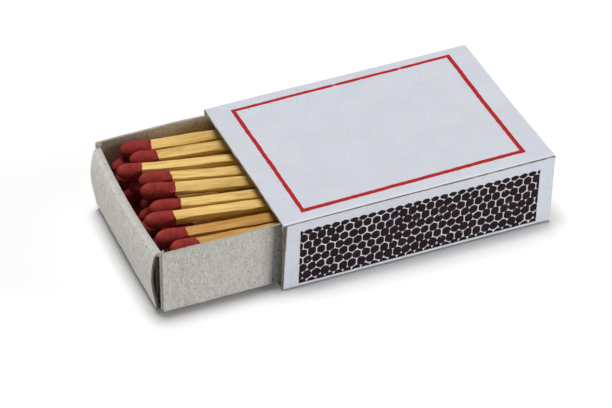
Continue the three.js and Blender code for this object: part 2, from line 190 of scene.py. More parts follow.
INNER_PLY = OUTER_PLY + PLY_PITCH
TAB_PLY = OUTER_PLY + PLY_PITCH / 2
CORNER_GAP = -0.19 * MM  # by which the folded corners stand in from the middle of the end's plies
CORNER_PLY = TAB_PLY + CORNER_GAP
CORNER_START = CORNER_PLY + 2 * TRAY_BEND
CORNER_SLANT = 0.95 * MM  # by which a folded corner leans in from its crease
CORNER_LAP = 0.15 * MM  # how far it runs on into the side wall
TAB_START = 1.5 * MM  # from the end strip's cut edge to the visible start of a tab
BOW_SHAPE = 1.25  # above 1, the bulge sits in the upper half
BOW_STEPS = 10
END_PLAN_BOW = 0.6 * MM  # outward bow of the open end's top edge
STRIP_OVERLAP = 1 * MM
WALL = TRAY_WIDTH / 2 - TRAY_BOARD / 2
FAR_BOW = 0.32 * MM  # outward bow of the far side wall's open half
FAR_BOW_POWER = 8  # the higher, the less the bottom follows that bow
TRAY_WAVER = 0.07 * MM  # unevenness of the whole tray
TRAY_WAVE = 9 * MM  # and the length of its waves
TRAY_ROUGH = 0.012 * MM  # roughness of its board
TRAY_ROUGH_SIZE = 0.6 * MM
TORN_DROP = 0.75 * MM  # how far the near wall's corner at the open end is torn down
TORN_WIDTH = 0.55 * MM
TORN_POWER = 8  # the higher, the nearer to the top the tear stays
TUFT_SEED = 5
TUFT_COUNT = 60  # fibres that stand up round the tear
TUFT_DEPTH = (0.1, 0.6)  # of the tear's depth: how far down their roots lie
TUFT_CURL = 0.5
TUFT_TAPER = 0.7  # of a fibre's radius that is lost at its tip
TUFT_START = 0.25 * MM  # how far outside the corner's middle their roots start
TUFT_ALONG = 1.0 * MM  # spread of their roots, along the wall and across it
TUFT_ACROSS = 0.2 * MM
TUFT_LENGTH = (0.35 * MM, 1.0 * MM)
TUFT_RADIUS = (0.035 * MM, 0.06 * MM)
TUFT_STEPS = 4
TUFT_SIDES = 5
TUFT_ROOM = 0.1 * MM  # left between them and the sleeve, as the tray slides through

# Matches
MATCH_COUNT = 38
BROWN_MATCHES = {8, 9}  # those of darker wood
SPLINT_SIDE = 1.85 * MM
SPLINT_SIZES = (0.95, 1.02)
SPLINT_CORNER = 0.12  # of the half side: how far the corners are worn
SPLINT_FACE = [(1, SPLINT_CORNER - 1), (1.02, -0.4), (0.98, 0.3), (1, 1 - SPLINT_CORNER)]  # in half sides
SPLINT_STEP = 0.8 * MM
SPLINT_SWAY = 0.05 * MM
SPLINT_SWAY_LENGTH = 18 * MM
SPLINT_CHIP = 0.085 * MM
SPLINT_CHIP_LENGTH = 3.2 * MM
CHIP_FACE_STEP = 3.7  # in the noise of the chips: from one face to the next
CHIP_POINT_STEP = 0.6  # and from one point of the section to the next
SPLINT_SHADE = (0.3 * MM, -0.85 * MM)  # heights where painted shade on a splint's underside starts and is full
TAIL_DEPTH = 0.6 * MM  # of a splint's end that holds only its last corners
HEAD_LENGTH = 5.3 * MM
HEAD_RADIUS = 1.48 * MM
HEAD_TIP = 2.2 * MM
HEAD_SEAT = 2.6 * MM
HEAD_COAT = 0.11 * MM  # over the splint's flats at the shoulder
HEAD_SIDES = 28
HEAD_TIP_RINGS = 8
HEAD_BODY_RINGS = 12
HEAD_FIRST_RING = 0.18  # of a radian from the tip
HEAD_SIZES = (0.96, 1.0)
HEAD_TAPER = 0.05  # of the bulb's radius that is lost towards the shoulder
HEAD_LUMP = 0.05 * MM
HEAD_LUMP_LENGTH = 1.3 * MM
HEAD_LUMP_TURN = 1.2  # radius of a turn round the head in the noise of the lumps
HEAD_CAP = 0.86  # of the shoulder's reach at which its flat end begins
HEAD_CAP_RISE = 0.01 * MM
HEAD_PALE = (2.6 * MM, 0.2 * MM)  # from the tip: where it starts to pale and where it is palest
NECK_START = 0.5  # of the head's length, from where the bulb turns square
SHOULDER_POWER = 10  # the higher, the squarer the shoulder
SHOULDER_SLANT = (0.1 * MM, 0.3 * MM)
SHOULDER_RAGGED = 0.2 * MM
SHOULDER_TURN = 2  # radius of a turn round the head in the noise of that raggedness
SLANT_POWER = 3  # the higher, the nearer to the shoulder its slant stays
RAGGED_POWER = 6  # and its raggedness

# Studio: level of the light all round, and lamps as (name, place, sizes, level on a face turned to it)
SKY_LEVEL = 0.14
FLOOR_GLOW = 0.02  # added to the floor as the camera sees it, so that only its shadows are grey
FLOOR_BOUNCE = (0.34, 0.34, 0.34, 1)  # tone of the floor for the light that it throws back
FLOOR_DROP = 0.34 * MM  # of the floor below the solids, for the sagging fold that the box stands on
FLOOR_HALF = 4.0
LIGHTS = [
    ("light_above", Vector((-0.04, 0.16, 1.5)), (0.72, 0.32), 0.41),
    ("light_behind", Vector((-0.04, 0.35, 1.55)), (0.72, 0.74), 0.43),
    ("light_fill", Vector((0.85, -0.5, 0.42)), (0.4, 0.3), 0.2),
    ("light_front", Vector((0.85, -0.5, 0.022)), (0.5, 0.036), 1.28),
    ("light_left", Vector((-1.1, 0.55, 0.022)), (0.8, 0.036), 0.66),
]

# Faces of a board, in the order of its materials
OUTER, INNER, EDGE = range(3)


def srgb(red, green, blue):
    """A colour given as it looks on a screen, 0 to 255, as linear light."""
    def linear(value):
        share = value / 255
        return share / 12.92 if share <= 0.04045 else ((share + 0.055) / 1.055) ** 2.4
    return (linear(red), linear(green), linear(blue), 1)


class Look:
    """A material built from small node helpers. Its coordinates are the piece's own, in metres."""

    def __init__(self, name, roughness, specular):
        self.material = bpy.data.materials.new(name)
        self.material.use_nodes = True
        self.tree = self.material.node_tree
        self.bsdf = self.tree.nodes["Principled BSDF"]
        self.bsdf.inputs["Roughness"].default_value = roughness
        self.bsdf.inputs["Specular IOR Level"].default_value = specular
        self.place = self.add("TexCoord").outputs["Object"]

    def add(self, kind, inputs=None, **settings):
        made = self.tree.nodes.new("ShaderNode" + kind)
        for name, value in settings.items():
            setattr(made, name, value)
        for key, value in (inputs or {}).items():
            if isinstance(value, bpy.types.NodeSocket):
                self.tree.links.new(value, made.inputs[key])
            else:
                made.inputs[key].default_value = value
        return made

    def stretched(self, stretch, shift=None):
        inputs = {"Vector": self.place, "Scale": stretch}
        if shift is not None:
            inputs["Location"] = shift
        return self.add("Mapping", inputs).outputs["Vector"]

    def noise(self, size, detail=2.0, stretch=(1, 1, 1), shift=None):
        """Cloudy noise, 0 to 1, with features of about that size."""
        inputs = {"Vector": self.stretched(stretch, shift), "Scale": 1 / size, "Detail": detail}
        return self.add("TexNoise", inputs).outputs[0]

    def specks(self, size, share, stretch=(1, 1, 1)):
        """Scattered specks: 1 in the middle of the chosen share of cells of that size, 0 elsewhere."""
        inputs = {"Vector": self.stretched(stretch), "Scale": 1 / size}
        cells = self.add("TexVoronoi", inputs)
        picked = self.add("SeparateColor", {"Color": cells.outputs["Color"]}).outputs["Red"]
        chosen = self.add("Math", {0: picked, 1: share}, operation="LESS_THAN").outputs[0]
        near = self.step(cells.outputs["Distance"], *SPECK_EDGE)
        return self.times(near, chosen)

    def step(self, value, low, high):
        inputs = {"Value": value, "From Min": low, "From Max": high}
        return self.add("MapRange", inputs, interpolation_type="SMOOTHSTEP").outputs["Result"]

    def times(self, a, b):
        return self.add("Math", {0: a, 1: b}, operation="MULTIPLY").outputs[0]

    def plus(self, a, b):
        return self.add("Math", {0: a, 1: b}, operation="ADD").outputs[0]

    def mix(self, factor, a, b, mode="MIX"):
        inputs = {0: factor, 6: a, 7: b}
        return self.add("Mix", inputs, data_type="RGBA", blend_type=mode).outputs[2]

    def axis(self, name):
        return self.add("SeparateXYZ", {"Vector": self.place}).outputs[name]

    def colour(self, socket):
        self.tree.links.new(socket, self.bsdf.inputs["Base Color"])

    def roughness(self, socket):
        self.tree.links.new(socket, self.bsdf.inputs["Roughness"])

    def bump(self, height, distance, strength=1.0):
        inputs = {"Height": height, "Distance": distance, "Strength": strength}
        normal = self.add("Bump", inputs).outputs["Normal"]
        self.tree.links.new(normal, self.bsdf.inputs["Normal"])


def coated_board():
    """White coated board, faintly clouded, with a smooth dull face and painted contact shade along its near
    bottom fold.
    """
    look = Look("coated_board", 0.5, 0.14)
    cloud = look.step(look.noise(5 * MM, 5), 0.32, 0.68)
    colour = look.mix(cloud, srgb(204, 208, 217), srgb(209, 212, 221))
    warm = look.step(look.noise(2.5 * MM, 3, shift=(3, 1, 2)), 0.5, 0.8)
    colour = look.mix(look.times(warm, 0.35), colour, srgb(214, 210, 217))
    grain = look.noise(0.35 * MM, 4)
    colour = look.mix(look.times(look.step(grain, 0.5, 0.78), 0.75), colour, srgb(186, 190, 198))
    # painted shade: the near bottom fold is darkened towards the floor, a contact shadow put into the
    # colour
    low = look.step(look.axis("Z"), *CONTACT_SHADE_HEIGHT)
    near = look.step(look.axis("Y"), *(reach - HALF_WIDTH for reach in CONTACT_SHADE_REACH))
    painted_contact_shade = look.times(low, near)
    colour = look.mix(look.times(painted_contact_shade, 0.85), colour, srgb(72, 74, 78))
    look.colour(colour)
    # The step's ends lie far beyond the noise's, so the roughness stays between about 0.25 and 0.6
    look.roughness(look.step(look.noise(2 * MM, 3), -0.6, 1.9))
    look.bump(look.plus(look.times(grain, 0.3), look.noise(1.5 * MM, 2)), 0.03 * MM)
    return look.material


def sleeve_inside():
    """Uncoated inner face of the sleeve's board."""
    look = Look("sleeve_inside", 0.85, 0.15)
    fibre = look.noise(0.3 * MM, 4, stretch=(0.35, 1, 1))
    colour = look.mix(look.step(fibre, 0.3, 0.7), srgb(176, 171, 160), srgb(203, 199, 190))
    speck = look.specks(0.9 * MM, 0.12)
    colour = look.mix(look.times(speck, 0.5), colour, srgb(120, 108, 92))
    look.colour(colour)
    look.bump(fibre, 0.05 * MM)
    return look.material


def raw_edge():
    """Cut edge of the sleeve's board: pale brown plies."""
    look = Look("raw_edge", 0.9, 0.1)
    plies = look.noise(0.14 * MM, 3)
    colour = look.mix(look.step(plies, 0.3, 0.7), srgb(162, 155, 138), srgb(212, 206, 191))
    dirt = look.step(look.noise(1.1 * MM, 3), 0.5, 0.72)
    colour = look.mix(look.times(dirt, 0.45), colour, srgb(116, 100, 80))
    seam = look.step(look.axis("Z"), *(HEIGHT - depth for depth in SEAM_DEPTH))
    stain = look.step(look.noise(2.2 * MM, 2, shift=(4, 1, 3)), 0.42, 0.6)
    shade = look.mix(stain, srgb(104, 90, 72), srgb(160, 154, 144))
    colour = look.mix(look.times(seam, 0.75), colour, shade)
    look.colour(colour)
    look.bump(plies, 0.06 * MM)
    return look.material


def grey_board(name, light, dark):
    """Uncoated grey chipboard: upright fibres, brown clouds, and dark and green specks."""
    look = Look(name, 0.88, 0.15)
    fibre = look.noise(0.2 * MM, 5, stretch=(1, 1, 0.42))
    colour = look.mix(look.step(fibre, 0.3, 0.7), dark, light)
    cloud = look.step(look.noise(1.3 * MM, 4, stretch=(1, 1, 0.55)), 0.45, 0.75)
    colour = look.mix(look.times(cloud, 0.45), colour, srgb(172, 160, 146))
    pale = look.step(look.noise(0.7 * MM, 3, stretch=(1, 1, 0.4), shift=(5, 2, 1)), 0.58, 0.75)
    colour = look.mix(look.times(pale, 0.6), colour, srgb(205, 203, 198))
    brown = look.specks(0.55 * MM, 0.24, stretch=(1, 1, 0.7))
    colour = look.mix(look.times(brown, 0.45), colour, srgb(150, 124, 94))
    green = look.specks(0.5 * MM, 0.09)
    colour = look.mix(look.times(green, 0.45), colour, srgb(112, 120, 104))
    black = look.specks(0.55 * MM, 0.035, stretch=(1, 1, 0.6))
    colour = look.mix(look.times(black, 0.42), colour, srgb(86, 82, 78))
    look.colour(colour)
    look.bump(look.plus(fibre, look.times(cloud, 0.5)), 0.06 * MM)
    return look.material


def torn_board(name, light, dark):
    """Cut or torn edges of the tray's board."""
    look = Look(name, 0.92, 0.1)
    plies = look.noise(0.15 * MM, 4)
    look.colour(look.mix(look.step(plies, 0.3, 0.7), dark, light))
    look.bump(plies, 0.08 * MM)
    return look.material


def border_ink():
    """Red printing ink with worn patches."""
    look = Look("border_ink", 0.5, 0.14)
    patch = look.step(look.noise(1.6 * MM, 4), 0.35, 0.7)
    colour = look.mix(patch, srgb(174, 22, 27), srgb(158, 27, 33))
    worn = look.step(look.noise(0.3 * MM, 3), 0.62, 0.8)
    colour = look.mix(look.times(worn, 0.35), colour, srgb(196, 96, 99))
    look.colour(colour)
    look.bump(look.noise(0.25 * MM, 3), 0.01 * MM)
    return look.material


def striker_coat():
    """Dull dark-brown abrasive with tiny glints."""
    look = Look("striker_coat", 0.85, 0.06)
    grit = look.noise(0.16 * MM, 4)
    colour = look.mix(look.step(grit, 0.3, 0.72), srgb(24, 13, 15), srgb(46, 32, 35))
    worn = look.step(look.noise(2.2 * MM, 4), 0.5, 0.75)
    colour = look.mix(look.times(worn, 0.35), colour, srgb(60, 45, 47))
    glint = look.specks(0.24 * MM, 0.06)
    colour = look.mix(look.times(glint, 0.5), colour, srgb(98, 84, 83))
    hole = look.specks(0.42 * MM, 0.012)
    colour = look.mix(look.times(hole, 0.75), colour, srgb(186, 178, 178))
    look.colour(colour)
    look.bump(grit, 0.06 * MM)
    return look.material


def splint_wood(name, light, dark):
    """Split wood with grain along the piece's own X, stained brown in places, with painted shade darkening
    its underside.
    """
    look = Look(name, 0.62, 0.15)
    under = look.step(look.axis("Z"), *SPLINT_SHADE)
    tint = look.add("ObjectInfo").outputs["Random"]
    look.place = look.add("VectorMath", {0: look.place, 1: tint}, operation="ADD").outputs[0]
    grain = look.noise(0.17 * MM, 4, stretch=(0.035, 1, 1))
    band = look.noise(0.55 * MM, 3, stretch=(0.05, 1, 1), shift=(1, 4, 2))
    figure = look.plus(look.times(grain, 0.55), look.times(band, 0.45))
    colour = look.mix(look.step(figure, 0.34, 0.62), dark, light)
    colour = look.mix(look.times(tint, 0.22), colour, srgb(228, 196, 140), mode="MULTIPLY")
    pore = look.step(look.noise(0.1 * MM, 2, stretch=(0.06, 1, 1), shift=(2, 7, 3)), 0.66, 0.76)
    colour = look.mix(look.times(pore, 0.5), colour, srgb(150, 104, 48))
    stain = look.step(look.noise(1.0 * MM, 3, stretch=(0.15, 1, 1), shift=(6, 3, 5)), 0.52, 0.7)
    colour = look.mix(look.times(stain, 0.5), colour, srgb(178, 130, 60))
    # painted shade: the splint darkens towards its underside, standing in for the shade between the stacked
    # matches
    colour = look.mix(look.times(under, 0.65), colour, srgb(150, 108, 66), mode="MULTIPLY")
    look.colour(colour)
    look.bump(figure, 0.06 * MM)
    return look.material


def head_compound():
    """Dried brick-red match compound, paler at the tip, faintly blotched."""
    look = Look("head_compound", 0.78, 0.14)
    blotch = look.step(look.noise(0.9 * MM, 4), 0.3, 0.7)
    colour = look.mix(blotch, srgb(130, 40, 38), srgb(148, 50, 46))
    tip = look.step(look.axis("X"), *HEAD_PALE)
    colour = look.mix(look.times(tip, 0.45), colour, srgb(158, 60, 50))
    grit = look.noise(0.13 * MM, 3)
    colour = look.mix(look.times(look.step(grit, 0.58, 0.75), 0.35), colour, srgb(176, 84, 76))
    look.colour(colour)
    look.bump(look.plus(look.times(grit, 0.5), look.noise(0.5 * MM, 3)), 0.05 * MM)
    return look.material


def left_of(direction):
    return Vector((-direction.y, direction.x))


def bent_path(corners):
    """Points along a folded middle line, the normals to their left, and the room to their right.

    A corner is (u, v) or (u, v, bend), and a bend turns to the right.
    """
    at = [Vector(corner[:2]) for corner in corners]
    rows = []
    for i, point in enumerate(at):
        if i in (0, len(at) - 1):
            other = at[1] - at[0] if i == 0 else at[-1] - at[-2]
            rows.append((point, left_of(other.normalized()), FREE_ROOM))
            continue
        before = (point - at[i - 1]).normalized()
        after = (at[i + 1] - point).normalized()
        turn = math.atan2(before.x * after.y - before.y * after.x, before.dot(after))
        bend = corners[i][2] if len(corners[i]) > 2 else 0
        if not bend:
            mitre = Matrix.Rotation(turn / 2, 2) @ left_of(before) / math.cos(turn / 2)
            rows.append((point, mitre, FREE_ROOM))
            continue
        centre = point - before * bend * math.tan(-turn / 2) - left_of(before) * bend
        for k in range(BEND_STEPS + 1):
            normal = Matrix.Rotation(turn * k / BEND_STEPS, 2) @ left_of(before)
            rows.append((centre + normal * bend, normal, FOLD_ROOM * bend))
    fine = [rows[0]]
    for (p, n, _), (q, m, room) in zip(rows, rows[1:]):
        count = math.ceil((q - p).length / PATH_STEP - SAME_PLACE)
        fine += [(p.lerp(q, k / count), n.lerp(m, k / count), FREE_ROOM) for k in range(1, count)]
        if count:
            fine.append((q, m, room))
    return fine


def stations(start, end):
    """Places along a sweep, closer at its worn ends, with the share of the board's thickness there."""
    count = math.ceil((end - start) / SWEEP_STEP)
    inner = np.linspace(start + 2 * EDGE_ROUND, end - 2 * EDGE_ROUND, count)
    inner = [start + EDGE_ROUND, *inner, end - EDGE_ROUND]
    return [(start, EDGE_SHARE), *((float(t), 1) for t in inner), (end, EDGE_SHARE)]


def sweep(corners, board, start, end, place):
    """A folded board: vertices, faces, and which face of the board each belongs to."""
    rows = bent_path(corners)
    for near, far, at in ((0, 1, 1), (-1, -2, -1)):
        share = EDGE_ROUND / (rows[far][0] - rows[near][0]).length
        row = (rows[near][0].lerp(rows[far][0], share), rows[near][1], FREE_ROOM)
        rows.insert(at if at > 0 else len(rows) - 1, row)
    count = len(rows)
    ring = 2 * count
    verts = []
    for t, share in stations(start, end):
        for left in (True, False):
            for i, (point, normal, room) in enumerate(rows):
                half = board / 2 * min(share, EDGE_SHARE if i in (0, count - 1) else 1)
                reach = half if left else -min(half, room)
                verts.append(place(point + normal * reach, t))
    faces = []
    kinds = []

    def add(kind, *corner):
        faces.append(corner)
        kinds.append(kind)

    last = len(verts) - ring
    for base in range(0, last, ring):
        for i in range(base, base + count - 1):
            worn = i in (base, base + count - 2) or base in (0, last - ring)
            add(EDGE if worn else OUTER, i, i + 1, i + 1 + ring, i + ring)
            j = i + count
            add(EDGE if worn else INNER, j + 1, j, j + ring, j + 1 + ring)
        for i in (base, base + count - 1):
            add(EDGE, i, i + count, i + count + ring, i + ring)
    for base in (0, last):
        for i in range(base, base + count - 1):
            add(EDGE, i, i + 1, i + 1 + count, i + count)
    return verts, faces, kinds


def tube(base, rings, size):
    """Faces that join rings of that many points, one ring after the other."""
    faces = []
    for a in range(base, base + (rings - 1) * size, size):
        for i in range(size):
            j = (i + 1) % size
            faces.append((a + i, a + j, a + j + size, a + i + size))
    return faces


def build(name, verts, faces, materials, body, replaces, kinds=None, matrix=None):
    """A piece of the look: a mesh that rides on a body and stands for the named solids."""
    mesh = bpy.data.meshes.new(name)
    mesh.from_pydata([tuple(v) for v in verts], [], faces)
    for material in materials:
        mesh.materials.append(material)
    if kinds is not None:
        mesh.polygons.foreach_set("material_index", kinds)
    shape = bmesh.new()
    shape.from_mesh(mesh)
    bmesh.ops.recalc_face_normals(shape, faces=shape.faces)
    shape.to_mesh(mesh)
    shape.free()
    mesh.polygons.foreach_set("use_smooth", [True] * len(mesh.polygons))
    mesh.set_sharp_from_angle(angle=SMOOTH_ANGLE)
    piece = bpy.data.objects.new(name, mesh)
    bpy.context.scene.collection.objects.link(piece)
    if matrix is not None:
        piece.matrix_world = matrix
    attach(piece, body)
    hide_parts(*replaces)
    return piece


def smooth(share):
    """A share held between 0 and 1, with soft ends."""
    share = min(1, max(0, share))
    return share * share * (3 - 2 * share)


def sleeve_surface(point):
    """The sleeve's small unevenness, for everything that lies on it."""
    x, y, z = point
    share = z / HEIGHT
    at_end = max(0, 1 - (HALF_LENGTH - abs(x)) / CUT_LENGTH)
    if y < lap_inside:
        x += LAP_SKEW * share
        if x < 0:
            inward = (y + HALF_WIDTH) / SLEEVE_BOARD
            x += (LAP_CUT * share ** 2 - LAP_FOOT - LAP_BEVEL * inward) * at_end
            y -= LAP_SPLAY * share * at_end
    elif x > 0:
        x += PANEL_CUT * share * at_end * (HALF_WIDTH - y) / (2 * HALF_WIDTH)
    elif z < 2 * SLEEVE_BOARD:
        x -= FOOT_REACH * at_end * smooth((y + HALF_WIDTH) / FOOT_TURN)
    elif y < flap_inside + SLEEVE_BEND:
        x += FLAP_CUT * at_end * smooth((HEIGHT - z) / FLAP_TURN)
    along = (x + HALF_LENGTH) / (2 * HALF_LENGTH)
    rise = FAR_RISE[0] + (FAR_RISE[1] - FAR_RISE[0]) * along
    z += rise * share * max(0, y / HALF_WIDTH)
    soft = noise.noise_vector(Vector((x, y, z)) / SLEEVE_WAVE) * SLEEVE_WAVER
    if at_end > CUT_NICK_START:
        x += CUT_NICK * noise.noise(Vector((y, z, CUT_SLICE)) / CUT_NICK_SPACING)
    z -= FOOT_SAG * smooth(1 - z / SAG_REACH) * smooth(1 - (y + HALF_WIDTH) / SAG_REACH)
    lap_edge = HEIGHT - LAP_EDGE_DROP
    if y < lap_inside:
        near_edge = max(0, (z - lap_edge) / LAP_NICK_DEPTH + 1)
        nick = LAP_NICK * noise.noise(Vector((x, 0, 0)) / LAP_NICK_SPACING)
        z += (LAP_EDGE_RISE * along + nick) * near_edge ** 2
    else:
        lifted = (z - lap_edge - LAP_EDGE_RISE * along) / FOLD_LIFT
        full, start = FOLD_REACH
        y -= FOLD_OVERHANG * smooth(lifted) * smooth((start - HALF_WIDTH - y) / (start - full))
    return Vector((x, y, z)) + soft


def make_sleeve():
    half = SLEEVE_BOARD / 2
    top = HEIGHT - half
    side = HALF_WIDTH - half
    flap = flap_inside - half
    corners = [
        (flap, top - FLAP_DEPTH),
        (flap, top, SLEEVE_BEND),
        (side, top, SLEEVE_BEND),
        (side, half, SLEEVE_BEND),
        (-side, half, SLEEVE_BEND),
        (-side, HEIGHT - LAP_EDGE_DROP),
    ]
    verts, faces, kinds = sweep(
        corners, SLEEVE_BOARD, -HALF_LENGTH, HALF_LENGTH,
        lambda point, t: sleeve_surface((t, point.x, point.y)),
    )
    materials = [coated_board(), sleeve_inside(), raw_edge()]
    build("sleeve_board", verts, faces, materials, "sleeve", ["sleeve"], kinds)


def make_border():
    """The printed frame: a thin wavering line, worn almost through in two places of its far side."""
    loops = []
    for i, corner in enumerate(BORDER_CORNERS):
        after = BORDER_CORNERS[(i + 1) % len(BORDER_CORNERS)]
        along = (after - corner).normalized()
        half = BORDER_LINES[i] / 2
        count = round((after - corner).length / BORDER_STEP)
        for k in range(count):
            point = corner.lerp(after, k / count)
            rag = noise.noise(Vector((point.x, point.y, 0)) / BORDER_RAG_SPACING)
            reach = half * (1 + BORDER_RAGGED * rag)
            if i == WORN_LINE:
                worn = sum(math.exp(-(((point.x - x) / WORN_LENGTH) ** 2)) for x in WORN_PLACES)
                reach *= 1 - WORN_SHARE * worn
            outward = -left_of(along)
            if k == 0:
                before = (corner - BORDER_CORNERS[i - 1]).normalized()
                outward = -(left_of(along) + left_of(before))
            stray = noise.noise(Vector((point.x, point.y, WANDER_SLICE)) / BORDER_WANDER_SPACING)
            loops.append((point + outward * BORDER_WANDER * stray, outward * reach))
    section = [(1, -BORDER_INK), (BORDER_FLAT, BORDER_INK), (-BORDER_FLAT, BORDER_INK), (-1, -BORDER_INK)]
    size = len(section)
    verts = []
    for point, outward in loops:
        for share, height in section:
            flat = point + outward * share
            verts.append(sleeve_surface((flat.x, flat.y, HEIGHT)) + Vector((0, 0, height)))
    faces = []
    for i in range(len(loops)):
        j = (i + 1) % len(loops)
        for k in range(size):
            m = (k + 1) % size
            faces.append((size * i + k, size * i + m, size * j + m, size * j + k))
    build("border_print", verts, faces, [border_ink()], "sleeve", ["printed_border"])


def dot_edges(rng, rows, columns):
    """How far each dot has run together with its next, upper right and upper left neighbours."""
    run = rng.random((rows, columns, 3))
    amount = rng.uniform(*BRIDGE_AMOUNT, (rows, columns, 3))
    chance = np.full((rows, columns, 1), BRIDGE_CHANCE)
    for row in range(rows):
        for column in range(columns):
            chance[row, column] += BRIDGE_DRIFT * noise.noise(Vector((column, row, 0)) / DRIFT_DOTS)
    chance[0] += FOOT_BRIDGES
    return np.where(run < chance, amount, 0)


def dot_outline(bridges, angles, ragged):
    """Reach of one dot in each direction: a rounded hexagon that bulges where it meets a neighbour."""
    slant = math.atan2(DOT_ROW_PITCH, DOT_PITCH / 2)
    reach_slant = math.hypot(DOT_ROW_PITCH, DOT_PITCH / 2) / 2
    sides = [0, slant, math.pi - slant, math.pi, math.pi + slant, 2 * math.pi - slant]
    total = np.zeros(len(angles))
    for side, bridge in zip(sides, bridges):
        half = DOT_PITCH / 2 if side in (0, math.pi) else reach_slant
        off = (angles - side + math.pi) % (2 * math.pi) - math.pi
        closed = np.minimum(1, bridge * np.exp(-((off / BRIDGE_ANGLE) ** 2)))
        line = DOT_LINE * (1 - BRIDGE_PUSH * closed)
        ray = (half - line / 2) / np.maximum(np.cos(off), LEAST_COSINE)
        total += ray ** -DOT_POWER
    return total ** (-1 / DOT_POWER) * ragged


def soft_clip(values, low, high):
    """The values kept between two limits, rounded off where they meet one."""
    values = high - np.logaddexp(0, (high - values) / BAND_SOFT) * BAND_SOFT
    return low + np.logaddexp(0, (values - low) / BAND_SOFT) * BAND_SOFT


def striker_mesh(seed, side):
    """A band of abrasive dots on a side, -1 near or 1 far, flat on the board and cut off at its edges."""
    rng = np.random.default_rng(seed)
    foot = STRIKER_BASE + FOOT_MARGIN
    rows = math.ceil((STRIKER_TOP - STRIKER_BASE) / DOT_ROW_PITCH) + 1
    columns = math.ceil(2 * STRIKER_HALF / DOT_PITCH) + 1
    middle = (STRIKER_BASE + STRIKER_TOP) / 2
    edges = dot_edges(rng, rows, columns)
    angles = np.arange(DOT_POINTS) * 2 * math.pi / DOT_POINTS
    verts = []
    faces = []

    def bridge(row, column, k):
        inside = 0 <= row < rows and 0 <= column < columns
        return edges[row, column, k] if inside else 0

    for row in range(rows):
        shifted = row % 2 == 0
        down = 0 if shifted else -1
        for column in range(columns):
            along = (column - (columns - 1) / 2 + (0.5 if shifted else 0)) * DOT_PITCH
            up = middle + (row - (rows - 1) / 2) * DOT_ROW_PITCH
            bridges = [
                bridge(row, column, 0),
                bridge(row, column, 1),
                bridge(row, column, 2),
                bridge(row, column - 1, 0),
                bridge(row - 1, column + down, 1),
                bridge(row - 1, column + down + 1, 2),
            ]
            walk = rng.standard_normal(DOT_POINTS).cumsum()
            ragged = 1 + DOT_RAGGED * (walk - np.linspace(walk[0], walk[-1], DOT_POINTS))
            reach = dot_outline(bridges, angles, ragged * rng.uniform(*DOT_SIZES))
            lean = rng.uniform(-DOT_LEAN, DOT_LEAN, 2)
            wobble = rng.uniform(*BAND_WOBBLE, DOT_POINTS) * np.sign(up - middle)
            xs = along + lean[0] + reach * np.cos(angles)
            xs = soft_clip(xs, -STRIKER_HALF, STRIKER_HALF)
            zs = up + lean[1] + reach * np.sin(angles)
            aside = (xs - along) / (DOT_PITCH / 2)
            zs = soft_clip(zs, foot, STRIKER_TOP + TOP_CROWN - TOP_FALL * aside ** 2)
            if np.ptp(xs) < DOT_LEAST or np.ptp(zs) < DOT_LEAST:
                continue
            cut = (zs < foot + BAND_SOFT) | (zs > STRIKER_TOP - BAND_SOFT)
            zs = np.where(cut, zs + wobble, zs)
            base = len(verts)
            for share, rise in DOT_RINGS:
                ring_xs = xs.mean() + (xs - xs.mean()) * share
                ring_zs = zs.mean() + (zs - zs.mean()) * share
                for x, z in zip(ring_xs, ring_zs):
                    on_board = sleeve_surface((-side * x, side * HALF_WIDTH, z))
                    verts.append(on_board + Vector((0, side * rise, 0)))
            faces += tube(base, len(DOT_RINGS), DOT_POINTS)
            faces.append(tuple(range(len(verts) - DOT_POINTS, len(verts))))
            faces.append(tuple(reversed(range(base, base + DOT_POINTS))))
    return verts, faces


def make_strikers():
    coat = striker_coat()
    for name, seed, side in STRIKERS:
        verts, faces = striker_mesh(seed, side)
        build(name + "_dots", verts, faces, [coat], "sleeve", [name])


def tray_surface(x, y, z):
    """A point of the tray in its own frame, racked and a little uneven, as a place in the scene."""
    open_half = min(1, max(0, -2 * x / TRAY_LENGTH))
    bow = FAR_BOW * math.sin(math.pi * open_half) * max(0, y / WALL) ** FAR_BOW_POWER * z / SIDE_HEIGHT
    point = Vector((x + TRAY_RACK * y / TRAY_WIDTH, y + bow, z))
    soft = noise.noise_vector(point / TRAY_WAVE) * TRAY_WAVER
    rough = noise.noise_vector(point / TRAY_ROUGH_SIZE) * TRAY_ROUGH
    return TRAY_ORIGIN + point + soft + rough


